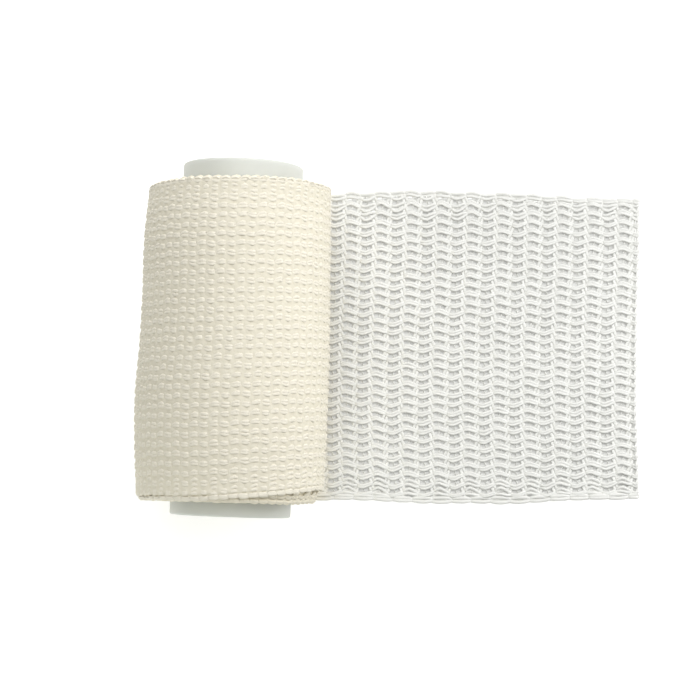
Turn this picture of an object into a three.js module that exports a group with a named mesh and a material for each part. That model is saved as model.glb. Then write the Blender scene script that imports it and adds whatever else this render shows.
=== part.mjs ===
// A roll of knitted casting tape on a plastic core. The roll lies on its side with its axis nearly
// along Y, and the free end of the tape is drawn out flat along +X from under it.
import * as THREE from "three";

// Sizes in millimetres, angles in degrees.
const TAPE_LAYER = 1.1; // one layer of the knit
const GAP = 0.3; // left between pieces that touch

const CORE_LENGTH = 82.4;
const CORE_RADIUS = 14.15;
const CORE_WALL = 1.5;
const CORE_LIP = 0.5; // rounding of the outer edge at each end of the core
const CORE_REACH = 3.1; // how far the core stands out of the tape at its -Y end

const WOUND_LENGTH = 73.5;
const WOUND_LEAN = 2.05; // the roll's +Y end is turned this far towards +X
const PRESSED = 0.6; // how far the soft roll is pressed flat where it rests
const LOW_SHOULDER = 3.5; // rounding of the wound tape's edge at its -Y end
const HIGH_SHOULDER = 2.2; // and at its +Y end

// The wound tape as seen from above, at equal steps from its -Y end to its +Y end: half of its
// width, and how far the middle of that width lies from the core's axis.
const WOUND_SECTIONS = [
  { halfWidth: 22.0, sideways: -0.25 },
  { halfWidth: 22.7, sideways: -0.58 },
  { halfWidth: 22.95, sideways: -0.75 },
  { halfWidth: 22.65, sideways: -0.45 },
  { halfWidth: 22.35, sideways: -0.58 },
  { halfWidth: 22.2, sideways: -0.9 },
  { halfWidth: 21.6, sideways: -0.65 },
];

// The free end's two edges: distance out from the roll's axis, and each edge's distance from the
// middle of the roll. The first row lies hidden under the roll and the last is the cut.
const FREE_END_EDGES = [
  { out: 0, upper: 36.4, lower: -36.2 },
  { out: 12, upper: 37.6, lower: -36.1 },
  { out: 24, upper: 38.7, lower: -35.9 },
  { out: 32, upper: 38.9, lower: -36.0 },
  { out: 40, upper: 39.4, lower: -36.5 },
  { out: 49, upper: 39.2, lower: -36.8 },
  { out: 59, upper: 39.0, lower: -36.7 },
  { out: 69, upper: 38.6, lower: -36.8 },
  { out: 79, upper: 38.1, lower: -36.1 },
  { out: 88.5, upper: 37.7, lower: -35.9 },
  { out: 98.5, upper: 37.5, lower: -35.7 },
];

// How finely the curved faces are divided.
const WOUND_COLUMNS = 84;
const WOUND_STATIONS = 18;
const SHOULDER_STEPS = 4;
const CORE_SIDES = 64;
const EDGE_STEPS = 3; // between two rows of FREE_END_EDGES

const lean = THREE.MathUtils.degToRad(WOUND_LEAN);
const coreHeight = WOUND_SECTIONS[3].halfWidth + TAPE_LAYER / 2 - PRESSED;

const plastic = new THREE.MeshStandardMaterial({ color: 0xe0e3df, roughness: 0.35, metalness: 0 });
const knit = new THREE.MeshStandardMaterial({ color: 0xeee7d2, roughness: 0.9, metalness: 0 });

// A surface through a closed ring of closed rings, each with the same number of points.
function closedGrid(rings) {
  const across = rings[0].length;
  const geometry = new THREE.BufferGeometry().setFromPoints(rings.flat());
  const index = [];
  rings.forEach((_, i) => {
    const here = i * across;
    const next = ((i + 1) % rings.length) * across;
    for (let j = 0; j < across; j++) {
      const k = (j + 1) % across;
      index.push(here + j, next + k, next + j);
      index.push(here + j, here + k, next + k);
    }
  });
  geometry.setIndex(index);
  geometry.computeVertexNormals();
  return geometry;
}

// The core: a plain tube turned about Y, its outer end edges slightly rounded.
function coreGeometry() {
  const inner = CORE_RADIUS - CORE_WALL;
  const rounded = CORE_RADIUS - CORE_LIP;
  const profile = new THREE.Path();
  profile.moveTo(inner, 0);
  profile.lineTo(rounded, 0);
  profile.absarc(rounded, CORE_LIP, CORE_LIP, -Math.PI / 2, 0, false);
  profile.lineTo(CORE_RADIUS, CORE_LENGTH - CORE_LIP);
  profile.absarc(rounded, CORE_LENGTH - CORE_LIP, CORE_LIP, 0, Math.PI / 2, false);
  profile.lineTo(inner, CORE_LENGTH);
  profile.lineTo(inner, 0);
  return new THREE.LatheGeometry(profile.getPoints(3), CORE_SIDES);
}

// Half width and sideways shift of the wound tape, by the share of its length from its -Y end.
const woundShape = new THREE.CatmullRomCurve3(
  WOUND_SECTIONS.map((row) => new THREE.Vector3(row.halfWidth, row.sideways, 0)),
  false,
  "catmullrom",
  0.5,
);

// One ring of the wound tape's outside. It starts where the free end leaves, straight under the
// axis, and runs up the -X side, over the top and back down, drawing in by one layer as it goes.
// It is pressed flat on the surface before the top, and on the free end after it.
function woundRing(along, inset) {
  const shape = woundShape.getPoint(along / WOUND_LENGTH);
  const widest = shape.x + TAPE_LAYER / 2;
  const middle = shape.y + TAPE_LAYER / 4;
  const height = widest - PRESSED;
  const ring = [];
  for (let j = 0; j <= WOUND_COLUMNS; j++) {
    const turn = j / WOUND_COLUMNS;
    const angle = 2 * Math.PI * turn;
    const radius = widest - TAPE_LAYER * turn - inset;
    const lowest = turn < 0.5 ? 0 : TAPE_LAYER + GAP;
    const atStep = j === 0 || j === WOUND_COLUMNS;
    const x = atStep ? 0 : middle - radius * Math.sin(angle);
    const z = Math.max(height - radius * Math.cos(angle), lowest);
    ring.push(new THREE.Vector3(x, along, z));
  }
  return ring;
}

// The wound tape's bore, a gap wider than the core.
function boreRing(along) {
  const radius = CORE_RADIUS + GAP;
  const ring = [];
  for (let j = 0; j <= WOUND_COLUMNS; j++) {
    const angle = (2 * Math.PI * (j + 0.5)) / (WOUND_COLUMNS + 1);
    const x = -radius * Math.sin(angle);
    const z = coreHeight - radius * Math.cos(angle);
    ring.push(new THREE.Vector3(x, along, z));
  }
  return ring;
}

// The wound tape: one thick sleeve with a rounded shoulder at each end.
function woundGeometry() {
  const rings = [boreRing(0)];
  for (let k = 0; k < SHOULDER_STEPS; k++) {
    const angle = (Math.PI / 2) * (k / SHOULDER_STEPS);
    rings.push(woundRing(LOW_SHOULDER * (1 - Math.cos(angle)), LOW_SHOULDER * (1 - Math.sin(angle))));
  }
  const straight = WOUND_LENGTH - LOW_SHOULDER - HIGH_SHOULDER;
  for (let k = 0; k <= WOUND_STATIONS; k++) {
    rings.push(woundRing(LOW_SHOULDER + (straight * k) / WOUND_STATIONS, 0));
  }
  for (let k = SHOULDER_STEPS - 1; k >= 0; k--) {
    const angle = (Math.PI / 2) * (k / SHOULDER_STEPS);
    const along = WOUND_LENGTH - HIGH_SHOULDER * (1 - Math.cos(angle));
    rings.push(woundRing(along, HIGH_SHOULDER * (1 - Math.sin(angle))));
  }
  rings.push(boreRing(WOUND_LENGTH));
  return closedGrid(rings);
}

// One edge of the free end as a smooth curve. Its first point keeps clear of the wound tape's
// step, which leans with the roll.
function edgeCurve(name) {
  const points = FREE_END_EDGES.map((row, i) => {
    const out = i === 0 ? GAP + row[name] * Math.tan(lean) : row.out;
    return new THREE.Vector2(out, row[name]);
  });
  return new THREE.SplineCurve(points).getPoints((points.length - 1) * EDGE_STEPS);
}

// The free end: one layer of the tape, flat on the surface.
function looseEndGeometry() {
  const outline = new THREE.Shape([...edgeCurve("lower"), ...edgeCurve("upper").reverse()]);
  return new THREE.ExtrudeGeometry(outline, { depth: TAPE_LAYER, bevelEnabled: false });
}

const core = new THREE.Mesh(coreGeometry(), plastic);
core.name = "core";
core.position.set(0, -CORE_REACH, coreHeight);

const wound = new THREE.Mesh(woundGeometry(), knit);
wound.name = "wound_tape";

const looseEnd = new THREE.Mesh(looseEndGeometry(), knit);
looseEnd.name = "loose_end";

// The roll turns as one about the upright line through its middle.
const turned = new THREE.Group();
turned.rotation.z = -lean;
const centred = new THREE.Group();
centred.position.y = -WOUND_LENGTH / 2;
centred.add(core, wound);
turned.add(centred);

// The origin is on the surface, under the middle of the whole object's box.
const laid = new THREE.Group();
laid.add(turned, looseEnd);
const box = new THREE.Box3().setFromObject(laid, true);
const middle = box.getCenter(new THREE.Vector3());
laid.position.set(-middle.x, -middle.y, 0);

const roll = new THREE.Group();
roll.add(laid);

export default roll;
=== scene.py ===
import math

import bpy
import numpy as np
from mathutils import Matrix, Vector


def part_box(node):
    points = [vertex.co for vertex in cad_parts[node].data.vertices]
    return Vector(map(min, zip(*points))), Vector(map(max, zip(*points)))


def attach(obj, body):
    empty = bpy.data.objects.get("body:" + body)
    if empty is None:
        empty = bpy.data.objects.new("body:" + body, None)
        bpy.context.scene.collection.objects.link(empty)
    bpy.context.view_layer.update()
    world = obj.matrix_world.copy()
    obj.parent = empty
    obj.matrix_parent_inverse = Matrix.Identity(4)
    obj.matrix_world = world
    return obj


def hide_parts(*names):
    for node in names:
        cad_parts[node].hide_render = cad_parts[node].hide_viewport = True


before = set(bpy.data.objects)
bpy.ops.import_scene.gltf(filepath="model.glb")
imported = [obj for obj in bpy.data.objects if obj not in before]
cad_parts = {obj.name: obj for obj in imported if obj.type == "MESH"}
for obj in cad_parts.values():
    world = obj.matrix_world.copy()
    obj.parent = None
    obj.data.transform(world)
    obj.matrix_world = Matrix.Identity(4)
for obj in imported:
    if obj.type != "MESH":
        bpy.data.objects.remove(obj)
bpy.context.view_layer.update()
MM = 0.001

# Core: a plain tube of natural polyethylene, extruded and cut, its end edges slightly rounded.
# The tape is wound straight on it. It stands out of the tape at both ends, and its bore is open.
LEAN = math.radians(2.05)  # the roll's +Y end is turned this far towards +X
CORE_LENGTH = 82.4 * MM
CORE_WALL = 1.5 * MM
CORE_SHIFT = 1.35 * MM  # from the wound tape's middle to the core's, along the axis
LIP = 0.5 * MM
CORE_SIDES = 144
LIP_STEPS = 6
WALL_STEPS = 12
POLYETHYLENE = "CBCDC9"

core_low, core_high = (np.array(corner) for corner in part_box("core"))
core_middle = (core_low + core_high) / 2
core_radius = (core_high[2] - core_low[2]) / 2
core_height = core_middle[2]
ALONG = np.array([math.sin(LEAN), math.cos(LEAN), 0.0])
ACROSS = np.array([math.cos(LEAN), -math.sin(LEAN), 0.0])
UP = np.array([0.0, 0.0, 1.0])
roll_middle = (core_middle - CORE_SHIFT * ALONG) * (1, 1, 0)


def in_roll(side, along, height):
    """Points of the roll's own frame: its middle + side * across + along * axis + height * up."""
    side, along, height = np.broadcast_arrays(side, along, height)
    return roll_middle + side[..., None] * ACROSS + along[..., None] * ALONG + height[..., None] * UP


def mesh_piece(name, points, faces, material):
    """A smooth-shaded object at the origin, from an array of points and arrays of like-sided faces."""
    mesh = bpy.data.meshes.new(name)
    mesh.vertices.add(len(points))
    mesh.vertices.foreach_set("co", points.astype(np.float32).ravel())
    corners = np.concatenate([part.ravel() for part in faces]).astype(np.int32)
    sides = np.concatenate([np.full(len(part), part.shape[1]) for part in faces])
    mesh.loops.add(len(corners))
    mesh.loops.foreach_set("vertex_index", corners)
    mesh.polygons.add(len(sides))
    mesh.polygons.foreach_set("loop_start", (np.cumsum(sides) - sides).astype(np.int32))
    mesh.polygons.foreach_set("use_smooth", np.ones(len(sides), dtype=bool))
    mesh.update(calc_edges=True)
    mesh.materials.append(material)
    piece = bpy.data.objects.new(name, mesh)
    bpy.context.scene.collection.objects.link(piece)
    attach(piece, "root")
    return piece


def closed_grid(rows, columns):
    """Four-sided faces over a grid of points that closes on itself both ways."""
    corner = np.arange(rows * columns).reshape(rows, columns)
    below = np.roll(corner, -1, axis=0)
    return np.stack(
        [corner, below, np.roll(below, -1, axis=1), np.roll(corner, -1, axis=1)], axis=-1
    ).reshape(-1, 4)


def linear(colour):
    """An sRGB hex colour as linear red, green, blue and alpha."""
    parts = [int(colour[i:i + 2], 16) / 255 for i in (0, 2, 4)]
    return [p / 12.92 if p <= 0.04045 else ((p + 0.055) / 1.055) ** 2.4 for p in parts] + [1.0]


def add_node(tree, kind, inputs=None, **settings):
    """Adds a shader node with its settings. An input is a value, or the output that it links from."""
    made = tree.nodes.new(kind)
    for name, value in settings.items():
        setattr(made, name, value)
    for name, value in (inputs or {}).items():
        if isinstance(value, bpy.types.NodeSocket):
            tree.links.new(value, made.inputs[name])
        else:
            made.inputs[name].default_value = value
    return made


def new_material(name):
    """An empty material and its node tree."""
    material = bpy.data.materials.new(name)
    material.use_nodes = True
    material.node_tree.nodes.clear()
    return material, material.node_tree


def natural_polyethylene():
    """Polyethylene, extruded without pigment: milky, lets some light in, with a soft satin gloss.

    Faint lines from the die run along it.
    """
    material, tree = new_material("natural_polyethylene")
    place = add_node(tree, "ShaderNodeTexCoord").outputs["Object"]
    drawn = add_node(tree, "ShaderNodeMapping", {"Vector": place, "Scale": (1.0, 0.04, 1.0)})
    lines = add_node(tree, "ShaderNodeTexNoise", {"Vector": drawn.outputs[0], "Scale": 1 / (0.9 * MM)})
    bump = add_node(
        tree,
        "ShaderNodeBump",
        {"Height": lines.outputs["Fac"], "Strength": 0.25, "Distance": 0.04 * MM},
    )
    clouds = add_node(tree, "ShaderNodeTexNoise", {"Vector": place, "Scale": 1 / (14 * MM)})
    roughness = add_node(
        tree, "ShaderNodeMapRange", {"Value": clouds.outputs["Fac"], "To Min": 0.42, "To Max": 0.52}
    )
    shader = add_node(
        tree,
        "ShaderNodeBsdfPrincipled",
        {
            "Base Color": linear(POLYETHYLENE),
            "Roughness": roughness.outputs["Result"],
            "IOR": 1.51,
            "Subsurface Weight": 0.8,
            "Subsurface Radius": (1.0, 1.0, 0.9),
            "Subsurface Scale": 5 * MM,
            "Normal": bump.outputs["Normal"],
        },
    )
    add_node(tree, "ShaderNodeOutputMaterial", {"Surface": shader.outputs["BSDF"]})
    return material


def core_points():
    """The tube's closed profile, two walls and four quarter-round lips, turned about the axis."""
    inner = core_radius - CORE_WALL
    half = CORE_LENGTH / 2
    quarter = np.linspace(0, math.pi / 2, LIP_STEPS)
    wall = np.linspace(-half + LIP, half - LIP, WALL_STEPS)[1:-1]
    out, back = LIP * np.sin(quarter), LIP * np.cos(quarter)
    outer_lip, inner_lip = core_radius - LIP + out, inner + LIP - out
    outer_wall, inner_wall = np.full(len(wall), core_radius), np.full(len(wall), inner)
    radius = [outer_lip, outer_wall, outer_lip[::-1], inner_lip, inner_wall, inner_lip[::-1]]
    low_lip, high_lip = -half + LIP - back, half - LIP + back
    place = [low_lip, wall, high_lip[::-1], high_lip, wall[::-1], low_lip[::-1]]
    radius, place = np.concatenate(radius)[:, None], np.concatenate(place)[:, None]
    angle = np.linspace(0, 2 * math.pi, CORE_SIDES, endpoint=False)
    return in_roll(radius * np.sin(angle), place + CORE_SHIFT, core_height + radius * np.cos(angle))


tube = core_points()
core = mesh_piece("core_tube", tube.reshape(-1, 3), [closed_grid(*tube.shape[:2])], natural_polyethylene())
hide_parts("core")

# Wound tape, inner turns: the knitted tape wound eight turns deep round the core. All that lies
# under the outermost turn is one body, ridged on its end faces where each turn's edge shows.
# It was wound under light tension, so the turns' edges wander a little.
LAYER = 1.1 * MM
TURNS = 8
PRESSED = 0.6 * MM  # how far the soft roll is pressed flat where it rests
GAP = 0.3 * MM  # between the core and the tape
BORE_RADIUS = core_radius + GAP

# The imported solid's two ends along the axis, and how far its rounded shoulders reach in from them.
LOW_END, HIGH_END = -36.75 * MM, 36.75 * MM
LOW_SHOULDER, HIGH_SHOULDER = 3.5 * MM, 2.2 * MM

# The tape's two edges along the axis. The end faces are skewed a little, and the edges wander.
LOW_EDGE, HIGH_EDGE = -36.1 * MM, 37.1 * MM
LOW_SKEW, HIGH_SKEW = 0.3 * MM, 0.6 * MM
LOW_WANDER, HIGH_WANDER = 0.25 * MM, 0.2 * MM
WANDER_RATE = 4  # how fast they do so in a turn
WANDER_SINES = ((0.5, 2.1), (0.3, 4.7), (0.2, 9.3))  # each sine's height and rate
DRAW_IN = 2.95 * MM  # how far the outermost turn's lower edge draws in
DRAWING_IN = (0.42, 0.72)  # over this part of the outermost turn, past its top
BACK_OUT = (0.98, 1.18)  # and here the second turn's edge comes back out

# How the edges bend down over the two end shoulders.
HIGH_BEND = 1.4 * MM  # the knit bends more sharply at that end than the solid's shoulder
LOW_REACH = -37.0 * MM  # where the bent edges at the other end stop
LEAST_ARC = 0.35 * MM
SLUMP = 3.4 * MM  # how much further the second turn bends down where the outermost has drawn in
MOST_BENT = 0.94  # the sine of how far an edge turns down over the shoulder

# The body's skin, in heights over the middle of the second turn and shares of the tape's width.
UNDER_OUTER = 1.19 * MM  # where the outermost turn covers it
UNDER_BARED = -0.3 * MM  # where that turn has drawn in
COVERED_PAST = (0.004, 0.016)  # it rises between these, past the outermost turn's edge
PLUMP = 0.09 * MM  # it is this much higher close to the two ends
PLUMP_LOW, PLUMP_HIGH = (0.03, 0.07), (0.93, 0.97)
LOW_TUCK, HIGH_TUCK = 0.016, 0.014  # it is tucked in at the edges
SKIN_ROWS = np.concatenate([np.linspace(0, 0.08, 16), np.linspace(0.1, 0.93, 12), np.linspace(0.95, 1, 20)])
BODY_COLUMNS = 360

# The end faces, a ridge for each turn.
FACE_ROWS = 40
FACE_START = 2.7  # how many layers deep they begin
FACE_INSET = 1.1 * MM  # how far they lie inside the knitted edges
RIDGE = 0.35 * MM
# Painted shade: the knit under the outermost turn is a cream darker than that turn's yarn, and darker still
# in its small hollows. The first of these creams also tints resin patches on the wound yarn.
CREAM_RESIN_AND_SHADE = "F3EDDB"
CREAM_HOLLOW_SHADE = "EEE7D3"
MIX_FACTOR, MIX_A, MIX_B, MIX_RESULT = 0, 6, 7, 2  # the colour sockets of the Mix node


def wound_outline():
    """Half the wound tape's width and its sideways shift, along the axis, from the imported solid."""
    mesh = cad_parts["wound_tape"].data
    points = np.empty(len(mesh.vertices) * 3, np.float32)
    mesh.vertices.foreach_get("co", points)
    points = points.reshape(-1, 3) - roll_middle
    along = np.round(points @ ALONG, 5)
    side = points @ ACROSS
    spare = 0.02 * MM
    straight = (along > LOW_END + LOW_SHOULDER - spare) & (along < HIGH_END - HIGH_SHOULDER + spare)
    stations = np.unique(along[straight])
    most = np.array([side[along == station].max() for station in stations])
    least = np.array([side[along == station].min() for station in stations])
    return stations, (most - least) / 2, (most + least) / 2


STATIONS, HALF_WIDTH, SIDEWAYS = wound_outline()


def inside_roll(turn, along, depth):
    """Side and height of a point of the roll, at a share of a turn from straight down, up the -X side.

    The outside is a circle, shifted sideways and pressed flat at the floor. Depth counts layers from
    there, along the straight line to the point of the bore at the same angle.
    """
    angle = 2 * math.pi * turn
    radius = np.interp(along, STATIONS, HALF_WIDTH) + LAYER / 2
    middle = np.interp(along, STATIONS, SIDEWAYS) + LAYER / 4
    side = middle - radius * np.sin(angle)
    height = np.maximum(radius - PRESSED - radius * np.cos(angle), 0)
    share = depth / TURNS
    side = side + (-BORE_RADIUS * np.sin(angle) - side) * share
    height = height + (core_height - BORE_RADIUS * np.cos(angle) - height) * share
    return side, height


def smooth_step(value, start, end):
    """0 before start, 1 after end, and a smooth cubic between them."""
    share = np.clip((value - start) / (end - start), 0, 1)
    return share * share * (3 - 2 * share)


def wander(value, seed):
    """A smooth uneven line between -1 and 1: the sum of three sines of unlike lengths."""
    phases = np.random.default_rng(seed).uniform(0, 2 * math.pi, len(WANDER_SINES))
    return sum(high * np.sin(rate * value + phase) for (high, rate), phase in zip(WANDER_SINES, phases))


def drawn_in(turns):
    """1 where the lower edge is drawn in, 0 where it isn't, and a smooth step between them."""
    return smooth_step(turns, *DRAWING_IN) - smooth_step(turns, *BACK_OUT)


def edge_low(turns):
    """Where the tape's lower edge lies along the axis: skewed once a turn, drawn in, and wandering."""
    skew = -LOW_SKEW * np.sin(2 * math.pi * turns)
    return LOW_EDGE + skew + DRAW_IN * drawn_in(turns) + LOW_WANDER * wander(turns * WANDER_RATE, 1)


def edge_high(turns):
    """Where its upper edge lies: skewed once a turn, and wandering."""
    skew = -HIGH_SKEW * np.sin(2 * math.pi * turns)
    return HIGH_EDGE + skew + HIGH_WANDER * wander(turns * WANDER_RATE, 2)


def across_roll(turns, share, over):
    """A point of the wound tape, at a share of its width from its lower edge.

    The cloth's middle lies half a layer below the turn's outside. Across, the tape runs straight and
    bends over the end shoulders on arcs that shrink with depth, and whatever lies over the cloth's
    middle stands off square to it.
    """
    low, high = edge_low(turns), edge_high(turns)
    depth = turns + 0.5
    low_arc = np.maximum(LOW_SHOULDER - depth * LAYER, LEAST_ARC) + SLUMP * drawn_in(turns - 1)
    high_arc = np.maximum(HIGH_BEND - depth * LAYER, LEAST_ARC)
    low_start = LOW_REACH + low_arc
    high_start = high - MOST_BENT * high_arc
    past_low = np.arcsin(np.clip((low_start - low) / low_arc, 0, MOST_BENT))
    first = np.maximum(low, low_start) - low_arc * past_low
    last = high_start + high_arc * math.asin(MOST_BENT)
    spot = first + (last - first) * share
    low_bend = np.maximum(low_start - spot, 0) / low_arc
    high_bend = np.maximum(spot - high_start, 0) / high_arc
    along = np.clip(spot, low_start, high_start)
    along = along - (low_arc + over) * np.sin(low_bend) + (high_arc + over) * np.sin(high_bend)
    drop = low_arc * (1 - np.cos(low_bend)) + high_arc * (1 - np.cos(high_bend))
    lift = over * np.cos(low_bend + high_bend)
    side, height = inside_roll(turns, along, depth + (drop - lift) / LAYER)
    return in_roll(side, along, height)


def body_points():
    """Rings round the axis: along the second turn's skin, then down and up the two end faces.

    The skin is high where the outermost turn covers it, and lower where that turn's edge has drawn
    in. Each end face has a ridge for each turn, half a sine high, on a spiral.
    """
    turn = np.linspace(0, 1, BODY_COLUMNS + 1)
    share = SKIN_ROWS[:, None]
    low, high = edge_low(turn + 1), edge_high(turn + 1)
    outer_edge = (edge_low(turn) - low) / (high - low)
    covered = smooth_step(share, outer_edge + COVERED_PAST[0], outer_edge + COVERED_PAST[1])
    most = math.asin(MOST_BENT)
    low_tuck = np.sin(most * np.clip(1 - share / LOW_TUCK, 0, 1))
    high_tuck = np.sin(most * np.clip(1 - (1 - share) / HIGH_TUCK, 0, 1))
    plump = PLUMP * (1 + smooth_step(share, *PLUMP_HIGH) - smooth_step(share, *PLUMP_LOW))
    under = (UNDER_OUTER + plump) * (1 - low_tuck - high_tuck)
    skin = across_roll(turn + 1, share, UNDER_BARED + (under - UNDER_BARED) * covered)

    inward = np.linspace(0, 1, FACE_ROWS)[:, None]
    face_depth = turn + FACE_START + (TURNS - turn - FACE_START) * inward
    ridge = RIDGE * np.abs(np.sin(math.pi * (face_depth - turn)))
    low_along = edge_low(turn + 2) + FACE_INSET - ridge
    high_along = edge_high(turn + 2) - FACE_INSET + ridge
    faces = []
    for along in (low_along, high_along):
        side, height = inside_roll(turn, along, face_depth)
        faces.append(in_roll(side, along, height))
    return np.concatenate([faces[0][::-1], skin, faces[1]])


def knit_in_shade():
    """Resin-coated knit seen between the stitches above it: cream, mottled by small hollows.

    Its cream is painted darker than the outermost turn's yarn, and darker still in the hollows: painted
    shade.
    """
    material, tree = new_material("resin_coated_knit_in_painted_shade")
    place = add_node(tree, "ShaderNodeTexCoord").outputs["Object"]
    cells = add_node(tree, "ShaderNodeTexVoronoi", {"Vector": place, "Scale": 1 / (1.2 * MM)})
    colour = add_node(
        tree,
        "ShaderNodeMix",
        {MIX_FACTOR: cells.outputs["Distance"], MIX_A: linear(CREAM_RESIN_AND_SHADE), MIX_B: linear(CREAM_HOLLOW_SHADE)},
        data_type="RGBA",
    )
    bump = add_node(
        tree,
        "ShaderNodeBump",
        {"Height": cells.outputs["Distance"], "Strength": 0.6, "Distance": 0.25 * MM},
        invert=True,
    )
    shader = add_node(
        tree,
        "ShaderNodeBsdfPrincipled",
        {
            "Base Color": colour.outputs[MIX_RESULT],
            "Roughness": 0.7,
            "IOR": 1.5,
            "Normal": bump.outputs["Normal"],
        },
    )
    add_node(tree, "ShaderNodeOutputMaterial", {"Surface": shader.outputs["BSDF"]})
    return material


body = body_points()
knit_in_painted_shade = knit_in_shade()
inner_turns = mesh_piece("inner_turns", body.reshape(-1, 3), [closed_grid(*body.shape[:2])], knit_in_painted_shade)
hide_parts("wound_tape")

# Outermost turn: resin-coated yarn, warp-knitted. Each wale is a chain of loops along the tape.
# Thick inlaid yarns run behind the chains and cross two wales at each course, there and back, and
# so hold the wales together. The loops are slack here, because the roll isn't stretched.
WALES = 35
WOUND_COURSE = 2.28 * MM
WOUND_CHAIN = (0.84 * MM, 0.34 * MM, 6)  # a yarn's width and height, and how many sides it has
WOUND_INLAY = (0.95 * MM, 0.24 * MM, 6)
WOUND_FLATTER = 0.3  # the share of their height that the loops keep when they are wound
ARCH = 0.12 * MM  # how far each course arches out between two crossings, and sinks in at them
SLACK_LOOP = 0.13  # half of a loop's width, in wales
SLACK_BAND = 0.17  # half of the way between an inlaid yarn's two crossings, in courses
WOUND_ZIGZAG = (0.08, 0.08, 20)  # how far the wales sway, how uneven they are, and the seed
CHAIN_SEEDS = (11, 12)
TURN_STEPS = 400
CREAM = "F9F3E4"
GLASS_WHITE = "F9F9F6"
GLASS_SHADE = "EBEBE6"
FILAMENTS = (14.0, 1.2, 1.0)  # how many lie round a yarn, and how many follow on each other in 1 mm

# Where each wale lies across the tape, in even steps from its lower edge. The outermost two at
# each edge are drawn closer together.
WALE_PLACES = np.array([(-1, -0.5), (0, 0.14), (1, 0.8), (33, 32.9), (34, 33.8), (35, 34.5)])
WIDTH_STEPS = 34.0
LEAST_WALE, MOST_WALE = -0.2, WALES - 0.9  # where the inlaid yarns turn back at the edges

# How uneven the loops are: in width, as a share, and in length and height.
LOOP_SPREAD = 0.14
LOOP_LATE = 0.04
LOOP_LIFT = 0.2
PAST_LOOP = 1.2  # in courses, just past where a loop's yarn ends
WIDE_LOOP = 2.0  # beside the selvedges every second loop is wider
WIDE_EDGE = 1.8  # and so is every loop of the upper selvedge

# How much of the sway each wale takes, and how much more or less it takes in patches.
SWAY_SHARE = np.array([(0, 0.25), (1, 1.35), (3, 1), (31, 1), (33, 1.35), (34, 0.35)])
SWAY_PATCHES = 0.4
SWAY_PHASE = 0.4  # the course at which the wales lie furthest up
# How fast the patches and the drift of wales and courses change in one course, and in one wale.
PATCH_RATES = ((0.35, 0.2), (-0.15, 0.3))
WALE_DRIFT, COURSE_DRIFT = (0.5, 1.7), (0.1, 0.6)

# One loop of a chain: courses along, half loops sideways, and millimetres above the cloth's middle.
LOOP = np.array([
    (0.00, -0.41, -0.30),
    (0.16, -0.76, 0.12),
    (0.45, -1.00, 0.28),
    (0.85, -0.88, 0.16),
    (1.13, 0.00, -0.08),
    (0.85, 0.88, 0.16),
    (0.45, 1.00, 0.28),
    (0.16, 0.76, 0.12),
    (0.00, 0.41, -0.30),
    (0.50, 0.00, -0.36),
])
# Two courses of a thick inlaid yarn: courses along, half bands further, wales sideways, and
# millimetres above the cloth's middle. It goes over to the second wale and back.
INLAID = np.array([
    (0.0, -1, 0, -0.08),
    (0.0, 0, 1, -0.02),
    (0.0, 1, 2, -0.08),
    (0.5, 0, 2, -0.22),
    (1.0, -1, 2, -0.08),
    (1.0, 0, 1, -0.02),
    (1.0, 1, 0, -0.08),
    (1.5, 0, 0, -0.22),
])


def across_tape(wale):
    """The share of the tape's width, from its lower edge, at which a wale lies."""
    return np.interp(wale, WALE_PLACES[:, 0], WALE_PLACES[:, 1]) / WIDTH_STEPS


def smooth_line(rows, reach, courses, steps):
    """Repeats a table of points that reaches over so many courses, on one Catmull-Rom line."""
    repeats = -(-courses // reach)
    control = rows + np.arange(repeats + 1)[:, None, None] * np.array([reach, 0, 0])
    control = control.reshape(-1, 3)[:courses * len(rows) // reach + 1]
    control = np.concatenate([control[:1], control, control[-1:]])[:, None]
    before, here, ahead, after = (control[i:len(control) - 3 + i] for i in range(4))
    t = np.linspace(0, 1, steps, endpoint=False)[:, None]
    line = 2 * here + (ahead - before) * t
    line = line + (2 * before - 5 * here + 4 * ahead - after) * t**2
    line = (line + (3 * here - before - 3 * ahead + after) * t**3) / 2
    return np.concatenate([line.reshape(-1, 3), control[-2]])


def chains(wales, first, courses, half_loop, steps, seed):
    """One chain line for each wale, its loops a little wider or narrower, longer or shorter."""
    line = smooth_line(LOOP, 1, courses, steps)
    draw = np.random.default_rng(seed)
    loop = np.minimum(np.arange(len(line)) // (len(LOOP) * steps), courses - 1)
    wider = half_loop * (1 + LOOP_SPREAD * draw.standard_normal((len(wales), courses))[:, loop])
    odd = (loop + first) % 2 == 1
    beside_low = np.isin(wales, (1, 2))[:, None]
    beside_high = np.isin(wales, (WALES - 3, WALES - 2))[:, None]
    wider = wider * np.where(beside_low & ~odd | beside_high & odd, WIDE_LOOP, 1)
    wider = wider * np.where(wales == WALES - 1, WIDE_EDGE, 1)[:, None]
    later = LOOP_LATE * draw.standard_normal((len(wales), courses))[:, loop]
    within = line[:, 0] - loop
    course = line[:, 0] + first + later * within * (PAST_LOOP - within)
    lift = LOOP_LIFT * draw.standard_normal((len(wales), courses))[:, loop]
    over = line[:, 2] + lift * within * (PAST_LOOP - within)
    return np.stack([course, line[:, 1] * wider + wales[:, None], over], -1)


def inlays(wales, first, courses, half_band, steps):
    """One inlaid line from each wale, kept within the tape's two outermost wales."""
    rows = INLAID[:, [0, 2, 3]] + INLAID[:, 1:2] * (half_band, 0, 0)
    line = smooth_line(rows, 2, courses, steps)
    wale = np.clip(line[:, 1] + wales[:, None], LEAST_WALE, MOST_WALE)
    course, height = (np.broadcast_to(line[:, i], wale.shape) for i in (0, 2))
    return np.stack([course + first, wale, height], -1)


def uneven(lines, rates, seed):
    """A wandering value at each point of some lines: so much of its course and so much of its wale."""
    return wander(lines[..., 0] * rates[0] + lines[..., 1] * rates[1], seed)


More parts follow.
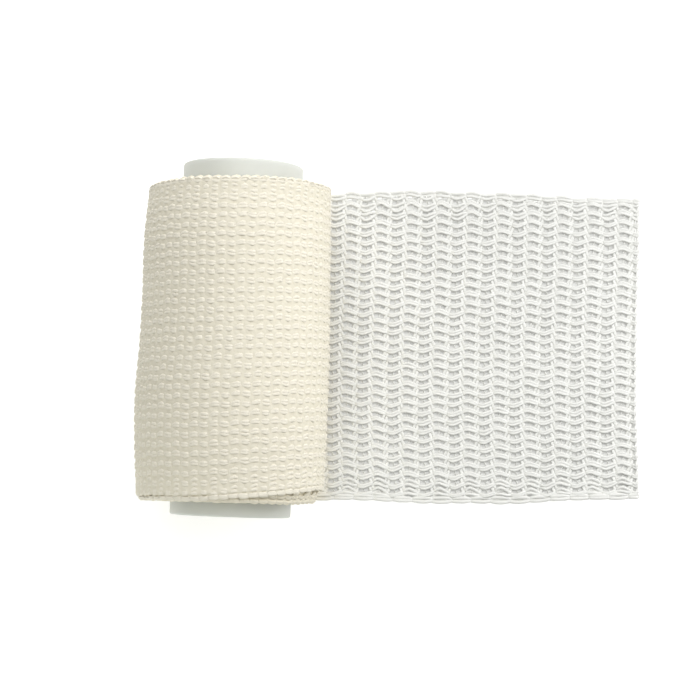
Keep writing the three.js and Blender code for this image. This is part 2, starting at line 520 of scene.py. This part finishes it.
def zigzag(lines, reach, unevenness, seed):
    """Sways all wales together, over two courses, as the inlaid yarns pull them, a little unevenly.

    The sway is the first two terms of a triangle wave. It is stronger and weaker in patches some ten
    courses across, where two slow lines cross, and the wales and courses drift on two lines more.
    """
    course, wale = lines[..., 0], lines[..., 1]
    swing = math.pi * (course - SWAY_PHASE)
    sway = reach * (np.cos(swing) + np.cos(3 * swing) / 9)
    sway = sway * np.interp(wale, SWAY_SHARE[:, 0], SWAY_SHARE[:, 1])
    patch = uneven(lines, PATCH_RATES[0], seed) * uneven(lines, PATCH_RATES[1], seed + 1)
    drift = unevenness * uneven(lines, WALE_DRIFT, seed + 2)
    lines[..., 1] = wale + sway * (1 + SWAY_PATCHES * patch) + drift
    lines[..., 0] = course + unevenness * uneven(lines, COURSE_DRIFT, seed + 3)
    return lines


def yarn_piece(name, lines, cloth, section, material, wound):
    """Yarns of oval section along lines given in courses, wales and millimetres above the cloth.

    The cloth function puts a line in space, and the same line 0.1 mm higher gives the section's
    upright. Each ring is middle + side * width/2 * cos(a) + upright * height/2 * sin(a).
    """
    width, height, sides = section
    course, wale, over = lines[..., 0], lines[..., 1], lines[..., 2] * MM
    middle = cloth(course, wale, over)
    upright = cloth(course, wale, over + 0.1 * MM) - middle
    onward = np.gradient(middle, axis=1)
    side = np.cross(onward, upright)
    side /= np.linalg.norm(side, axis=-1, keepdims=True)
    upright = np.cross(side, onward)
    upright /= np.linalg.norm(upright, axis=-1, keepdims=True)
    angle = np.arange(sides) * 2 * math.pi / sides
    ring = side[:, :, None] * np.cos(angle)[:, None] * width / 2
    ring = ring + upright[:, :, None] * np.sin(angle)[:, None] * height / 2
    points = middle[:, :, None] + ring

    count, length = lines.shape[:2]
    corner = np.arange(count * length * sides).reshape(count, length, sides)
    turned = np.roll(corner, -1, axis=2)
    tube = np.stack([corner[:, :-1], turned[:, :-1], turned[:, 1:], corner[:, 1:]], axis=-1)
    caps = np.concatenate([corner[:, 0, ::-1], corner[:, -1]])
    piece = mesh_piece(name, points.reshape(-1, 3), [tube.reshape(-1, 4), caps], material)

    reach = np.linalg.norm(np.diff(middle, axis=1), axis=-1) / MM
    reach = np.concatenate([np.zeros((count, 1)), np.cumsum(reach, axis=1)], axis=1)
    around = np.arange(sides + 1) / sides
    before, behind = (np.broadcast_to(r[:, :, None], tube.shape[:3]) for r in (reach[:, :-1], reach[:, 1:]))
    near, far = (np.broadcast_to(a, tube.shape[:3]) for a in (around[:-1], around[1:]))
    unrolled = np.stack([near, before, far, before, far, behind, near, behind], axis=-1)
    cap_map = np.zeros((caps.size, 2))
    layer = piece.data.uv_layers.new(name="yarn")
    layer.data.foreach_set("uv", np.concatenate([unrolled.ravel(), cap_map.ravel()]).astype(np.float32))
    tint = piece.data.attributes.new("wound", "FLOAT", "POINT")
    tint.data.foreach_set("value", np.repeat(wound(middle).ravel(), sides).astype(np.float32))
    return piece


def turn_table():
    """Turns against courses: arc length, 2 pi times a radius that shrinks a layer a turn, by course."""
    turns = np.linspace(0, TURNS, TURN_STEPS)
    radius = HALF_WIDTH.mean() + LAYER / 2 - LAYER * (turns + 0.5)
    length = np.concatenate([[0], np.cumsum(np.diff(turns) * math.pi * (radius[1:] + radius[:-1]))])
    return length / WOUND_COURSE, turns


COURSES_IN, TURNS_IN = turn_table()


def on_roll(course, wale, over):
    """Courses count back from where the free end leaves, along the spiral inwards."""
    turns = np.interp(-course, COURSES_IN, TURNS_IN)
    over = over * WOUND_FLATTER - ARCH * np.cos(2 * math.pi * course)
    return across_roll(turns, across_tape(wale), over)


def knitted_yarn():
    """Continuous glass yarn coated with resin: many fine filaments, slightly twisted, softly glossy.

    Single, it is nearly white, and wound several turns deep it looks cream, which the wound
    attribute brings in. The filaments are drawn about 0.15 mm wide, coarser than they are.
    """
    material, tree = new_material("resin_coated_glass_yarn")
    place = add_node(tree, "ShaderNodeTexCoord")
    wound = add_node(tree, "ShaderNodeAttribute", attribute_name="wound").outputs["Fac"]
    clouds = add_node(
        tree, "ShaderNodeTexNoise", {"Vector": place.outputs["Object"], "Scale": 1 / (7 * MM), "Detail": 3}
    )
    by_depth = []
    for single, many in ((GLASS_WHITE, CREAM), (GLASS_SHADE, CREAM_RESIN_AND_SHADE)):
        mixed = add_node(
            tree,
            "ShaderNodeMix",
            {MIX_FACTOR: wound, MIX_A: linear(single), MIX_B: linear(many)},
            data_type="RGBA",
        )
        by_depth.append(mixed.outputs[MIX_RESULT])
    resin = add_node(
        tree, "ShaderNodeMapRange", {"Value": clouds.outputs["Fac"], "To Min": 0.0, "To Max": 0.5}
    )
    colour = add_node(
        tree,
        "ShaderNodeMix",
        {MIX_FACTOR: resin.outputs["Result"], MIX_A: by_depth[0], MIX_B: by_depth[1]},
        data_type="RGBA",
    )
    twist = add_node(tree, "ShaderNodeMapping", {"Vector": place.outputs["UV"], "Scale": FILAMENTS})
    strands = add_node(
        tree, "ShaderNodeTexNoise", {"Vector": twist.outputs[0], "Scale": 1.0, "Detail": 1.0}
    )
    bump = add_node(
        tree,
        "ShaderNodeBump",
        {"Height": strands.outputs["Fac"], "Strength": 0.3, "Distance": 0.05 * MM},
    )
    shader = add_node(
        tree,
        "ShaderNodeBsdfPrincipled",
        {
            "Base Color": colour.outputs[MIX_RESULT],
            "Roughness": 0.7,
            "IOR": 1.5,
            "Specular IOR Level": 0.35,
            "Sheen Weight": 0.1,
            "Sheen Roughness": 0.4,
            "Normal": bump.outputs["Normal"],
        },
    )
    add_node(tree, "ShaderNodeOutputMaterial", {"Surface": shader.outputs["BSDF"]})
    return material


def all_wound(middle):
    """1 all along: this yarn lies on the roll."""
    return np.ones(middle.shape[:2])


knit_yarn = knitted_yarn()
OUTER_COURSES = int(np.interp(1.0, TURNS_IN, COURSES_IN))
half_wales = np.array_split(np.arange(WALES), 2)
for name, wales, seed in zip(("lower", "upper"), half_wales, CHAIN_SEEDS):
    lines = chains(wales, -OUTER_COURSES, OUTER_COURSES, SLACK_LOOP, steps=1, seed=seed)
    lines = zigzag(lines, *WOUND_ZIGZAG)
    yarn_piece("outer_chains_" + name, lines, on_roll, WOUND_CHAIN, knit_yarn, all_wound)
from_wales = np.arange(-1, WALES - 1)
lines = zigzag(inlays(from_wales, -OUTER_COURSES, OUTER_COURSES, SLACK_BAND, steps=1), *WOUND_ZIGZAG)
# The inlaid yarns lie deeper and take the darker cream of the knit below: painted shade.
yarn_piece("outer_inlays", lines, on_roll, WOUND_INLAY, knit_in_painted_shade, all_wound)

# The inner turns' edges: the outermost wale of each inner turn at both ends of the roll, and two
# more wales of the second turn at the low end, where the outermost turn has drawn in and bares them.
# These edges take the darker cream of the knit below too: painted shade.
EDGE_CHAIN = (0.84 * MM, 0.95 * MM, 6)  # the selvedges are nearly as thick as the layer
BARED_CHAIN = (0.84 * MM, 0.42 * MM, 5)
EDGE_ZIGZAG = (0.08, 0.04, 30)
BARED_ZIGZAG = (0.1, 0.04, 31)
ALL_COURSES = int(COURSES_IN[-1]) - 1
SECOND_COURSES = int(np.interp(2.0, TURNS_IN, COURSES_IN)) - OUTER_COURSES

inner_courses = ALL_COURSES - OUTER_COURSES
edge_wales = np.array([0, WALES - 1])
lines = zigzag(chains(edge_wales, -ALL_COURSES, inner_courses, SLACK_LOOP, steps=1, seed=13), *EDGE_ZIGZAG)
yarn_piece("inner_turn_edges", lines, on_roll, EDGE_CHAIN, knit_in_painted_shade, all_wound)
bared_wales = np.array([1, 2])
second_end = -OUTER_COURSES - SECOND_COURSES
lines = zigzag(chains(bared_wales, second_end, SECOND_COURSES, SLACK_LOOP, steps=1, seed=14), *BARED_ZIGZAG)
yarn_piece("second_turn_edge", lines, on_roll, BARED_CHAIN, knit_in_painted_shade, all_wound)

# Free end: the last stretch of the same tape, one layer, drawn out flat and so with longer loops.
# Its openings stand open, each split in two by a thin inlaid yarn, and its end is cut off plain.
FREE_COURSE = 3.75 * MM
YARN_HEIGHT = 0.42 * MM
DRAWN_CHAIN = (0.86 * MM, YARN_HEIGHT, 5)
DRAWN_SELVEDGE = (0.86 * MM, YARN_HEIGHT, 6)
DRAWN_INLAY = (0.9 * MM, 0.36 * MM, 6)
THIN_INLAY = (0.42 * MM, 0.42 * MM, 4)
DRAWN_LOOP = 0.12  # half of a loop's width, in wales
DRAWN_BAND = 0.2  # half of the way between an inlaid yarn's two crossings, in courses
DRAWN_ZIGZAG = (0.25, 0.05, 40)
BAND_ZERO = -11.3 * MM  # where course 0 crosses, at the tape's upper edge
FIRST_COURSE, LAST_COURSE = -7, 20
CUT_BACK = 0.65  # courses from there back to the cut
CUT_SQUEEZE = 0.12  # how far the cut ends still stand out, as a share
LOWER_WALE, UPPER_WALE = -36.31 * MM, 34.92 * MM  # where the second wale from each edge runs
SELVEDGE = 1.3 * MM  # and the least that it keeps from the edge
OUTSIDE_LOW, OUTSIDE_HIGH = 1.35, 1.08  # wales from there to the edge
LONG_COURSES = 21  # the lower selvedge has fewer, longer and wider loops
LONG_LOOP = 0.4
LONG_OUT = 0.1  # and lies further out, in wales
LEAST_RISE = 0.02  # the share of their height that yarns keep where the surface lifts them
CREAM_FADES = (15 * MM, 25 * MM)  # distances from the roll's middle

# How the courses bow along the tape, by the distance across it from the roll's middle.
BOW = np.array([
    (-37, -1.3),
    (-27, -1.5),
    (-14, -1.78),
    (0, -1.6),
    (14, -1.15),
    (26, -0.65),
    (37, -0.55),
]) * MM
# Two courses of a thin inlaid yarn, which crosses one wale half way through each opening.
THIN_INLAID = np.array([
    (0.43, 1.0, -0.06),
    (0.62, 0.0, -0.06),
    (1.00, 0.0, -0.38),
    (1.43, 0.0, -0.06),
    (1.62, 1.0, -0.06),
    (2.00, 1.0, -0.38),
])


def free_outline():
    """The free end's two long edges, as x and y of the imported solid's corners."""
    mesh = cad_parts["loose_end"].data
    points = np.empty(len(mesh.vertices) * 3, np.float32)
    mesh.vertices.foreach_get("co", points)
    points = np.unique(np.round(points.reshape(-1, 3)[:, :2], 6), axis=0)
    upper = points[points[:, 1] > roll_middle[1]]
    lower = points[points[:, 1] < roll_middle[1]]
    return upper, lower


UPPER_EDGE, LOWER_EDGE = free_outline()


def on_table(course, wale, over):
    """The tape flat on the surface. Its inner wales run straight and its selvedges follow the edges."""
    x = BAND_ZERO + FREE_COURSE * course
    lower = np.interp(x, LOWER_EDGE[:, 0], LOWER_EDGE[:, 1])
    upper = np.interp(x, UPPER_EDGE[:, 0], UPPER_EDGE[:, 1])
    second = np.maximum(LOWER_WALE, lower + SELVEDGE)
    last = np.minimum(UPPER_WALE, upper - SELVEDGE)
    share = (wale - 1) / (WALES - 3)
    near_low = np.clip(1 - wale, 0, None) / OUTSIDE_LOW
    near_high = np.clip(wale - WALES + 2, 0, None) / OUTSIDE_HIGH
    y = second + (last - second) * np.clip(share, 0, 1)
    y = y + (lower - second) * near_low + (upper - last) * near_high
    x = x + np.interp(y - roll_middle[1], BOW[:, 0], BOW[:, 1])
    height = LAYER / 2 + over
    return np.stack([x, y, np.maximum(height, YARN_HEIGHT / 2 + LEAST_RISE * height)], -1)


def cut_off(lines):
    """Presses what would reach past the cut back to it."""
    start = LAST_COURSE - CUT_BACK
    past = np.maximum(lines[..., 0] - start, 0)
    lines[..., 0] = np.minimum(lines[..., 0], start) + past * CUT_SQUEEZE
    return lines


def near_roll(middle):
    """1 under the roll and 0 away from it: its cream fades where the free end comes out."""
    return 1 - smooth_step(middle[..., 0] - roll_middle[0], *CREAM_FADES)


def thin_inlays(wales, first, courses, steps):
    """One thin inlaid line between each wale and the next."""
    line = smooth_line(THIN_INLAID, 2, courses, steps)
    wale = line[:, 1] + wales[:, None]
    course, height = (np.broadcast_to(line[:, i], wale.shape) for i in (0, 2))
    return np.stack([course + first, wale, height], -1)


courses = LAST_COURSE - FIRST_COURSE
lines = chains(np.arange(1, WALES), FIRST_COURSE, courses, DRAWN_LOOP, steps=2, seed=15)
lines = cut_off(zigzag(lines, *DRAWN_ZIGZAG))
free_end = yarn_piece("free_end_chains", lines, on_table, DRAWN_CHAIN, knit_yarn, near_roll)
lines = chains(np.array([0]), 0, LONG_COURSES, LONG_LOOP, steps=2, seed=16)
lines = cut_off(lines * (courses / LONG_COURSES, 1, 1) + (FIRST_COURSE, -LONG_OUT, 0))
selvedge = yarn_piece("free_end_selvedge", lines, on_table, DRAWN_SELVEDGE, knit_yarn, near_roll)
lines = cut_off(zigzag(inlays(from_wales, FIRST_COURSE, courses, DRAWN_BAND, steps=1), *DRAWN_ZIGZAG))
free_inlays = yarn_piece("free_end_inlays", lines, on_table, DRAWN_INLAY, knit_yarn, near_roll)
lines = cut_off(zigzag(thin_inlays(np.arange(WALES - 1), FIRST_COURSE, courses, steps=1), *DRAWN_ZIGZAG))
free_thin = yarn_piece("free_end_thin_inlays", lines, on_table, THIN_INLAY, knit_yarn, near_roll)
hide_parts("loose_end")

# Floor, light and camera: a white studio surface under soft light, brightest from the upper right,
# and a camera nearly straight above with a long lens. The floor's paper is lit from behind, but
# hardly so under the tape: that dim paper is painted shade, so the tape's openings look grey.
FLOOR_WHITE = "F6F6F4"
FLOOR_HALF = 3.0  # metres
FLOOR_DROP, UNDER_TAPE_DROP = 0.15 * MM, 0.05 * MM  # how far the two papers lie below the tape
UPPER_INSET, LOWER_INSET = 1.0 * MM, 1.0 / 3 * MM  # from the tape's edges in to the unlit paper's
CAMERA_PLACE = Vector((-10.47, -30.45, 468.8)) * MM
CAMERA_TARGET = Vector((-10.47, -0.84, 0)) * MM
LENS = 97.7  # millimetres
STUDIO_TINT, STUDIO_GLOW = (0.98, 1.0, 0.94, 1), 0.14  # the light that comes from all around


def matt_paper(name, glow):
    """Seamless white paper: plain, matt, with a very faint grain. Its glow is light from behind it; a weak
    glow leaves it dim, as painted shade.
    """
    material, tree = new_material(name)
    place = add_node(tree, "ShaderNodeTexCoord").outputs["Object"]
    grain = add_node(tree, "ShaderNodeTexNoise", {"Vector": place, "Scale": 1 / (2 * MM)})
    bump = add_node(
        tree, "ShaderNodeBump", {"Height": grain.outputs["Fac"], "Strength": 0.05, "Distance": 0.05 * MM}
    )
    shader = add_node(
        tree,
        "ShaderNodeBsdfPrincipled",
        {
            "Base Color": linear(FLOOR_WHITE),
            "Emission Color": (1.0, 1.0, 1.0, 1.0),
            "Emission Strength": glow,
            "Roughness": 0.9,
            "Specular IOR Level": 0.2,
            "Normal": bump.outputs["Normal"],
        },
    )
    add_node(tree, "ShaderNodeOutputMaterial", {"Surface": shader.outputs["BSDF"]})
    return material


def flat_stage(name, corners, height, material):
    """A flat polygon of the stage."""
    mesh = bpy.data.meshes.new(name)
    mesh.from_pydata([(x, y, height) for x, y in corners], [], [range(len(corners))])
    mesh.materials.append(material)
    piece = bpy.data.objects.new(name, mesh)
    bpy.context.scene.collection.objects.link(piece)


whole_floor = [(x * FLOOR_HALF, y * FLOOR_HALF) for x, y in ((-1, -1), (1, -1), (1, 1), (-1, 1))]
flat_stage("floor", whole_floor, -FLOOR_DROP, matt_paper("lit_white_paper", glow=0.5))
# The paper under the tape, inset from its edges, glows only weakly: painted shade under the tape's
# openings.
lower_edge = LOWER_EDGE[np.argsort(LOWER_EDGE[:, 0])] + (0, LOWER_INSET)
upper_edge = UPPER_EDGE[np.argsort(-UPPER_EDGE[:, 0])] - (0, UPPER_INSET)
under_tape = np.concatenate([lower_edge, upper_edge])
under_tape[:, 0] = np.clip(under_tape[:, 0], None, under_tape[:, 0].max() - UPPER_INSET)
flat_stage("painted_shade_paper_under_tape", under_tape.tolist(), -UNDER_TAPE_DROP, matt_paper("white_paper", glow=0.085))


def soft_light(name, place, size, power, colour=(1.0, 1.0, 1.0)):
    """A square area light that faces the object's middle."""
    light = bpy.data.lights.new(name, "AREA")
    light.size = size
    light.energy = power
    light.color = colour
    lamp = bpy.data.objects.new(name, light)
    lamp.location = place
    lamp.rotation_euler = (-Vector(place)).to_track_quat("-Z", "Y").to_euler()
    lamp.visible_camera = False
    bpy.context.scene.collection.objects.link(lamp)


# Two large lights do most: one from the upper right and one from above. Three small ones stand close
# by and lift the roll's upper end, the shade at its lower left, and the end of the tape.
soft_light("key", place=(0.36, 0.29, 0.36), size=0.7, power=1.98)
soft_light("top", place=(0.0, 0.1, 0.55), size=0.5, power=1.38)
soft_light("rim", place=(-0.06, 0.16, 0.12), size=0.1, power=0.07)
soft_light("fill", place=(-0.09, -0.12, 0.06), size=0.08, power=0.03, colour=(0.97, 1.0, 0.92))
soft_light("end", place=(0.11, 0.0, 0.07), size=0.06, power=0.02)
bpy.context.scene.view_settings.view_transform = "Standard"

world = bpy.data.worlds.new("studio")
world.use_nodes = True
world.node_tree.nodes["Background"].inputs["Color"].default_value = STUDIO_TINT
world.node_tree.nodes["Background"].inputs["Strength"].default_value = STUDIO_GLOW
bpy.context.scene.world = world

camera = bpy.data.cameras.new("camera")
camera.lens = LENS
camera.clip_start = 0.01
camera_object = bpy.data.objects.new("camera", camera)
camera_object.location = CAMERA_PLACE
camera_object.rotation_euler = (CAMERA_TARGET - CAMERA_PLACE).to_track_quat("-Z", "Y").to_euler()
bpy.context.scene.collection.objects.link(camera_object)
bpy.context.scene.camera = camera_object
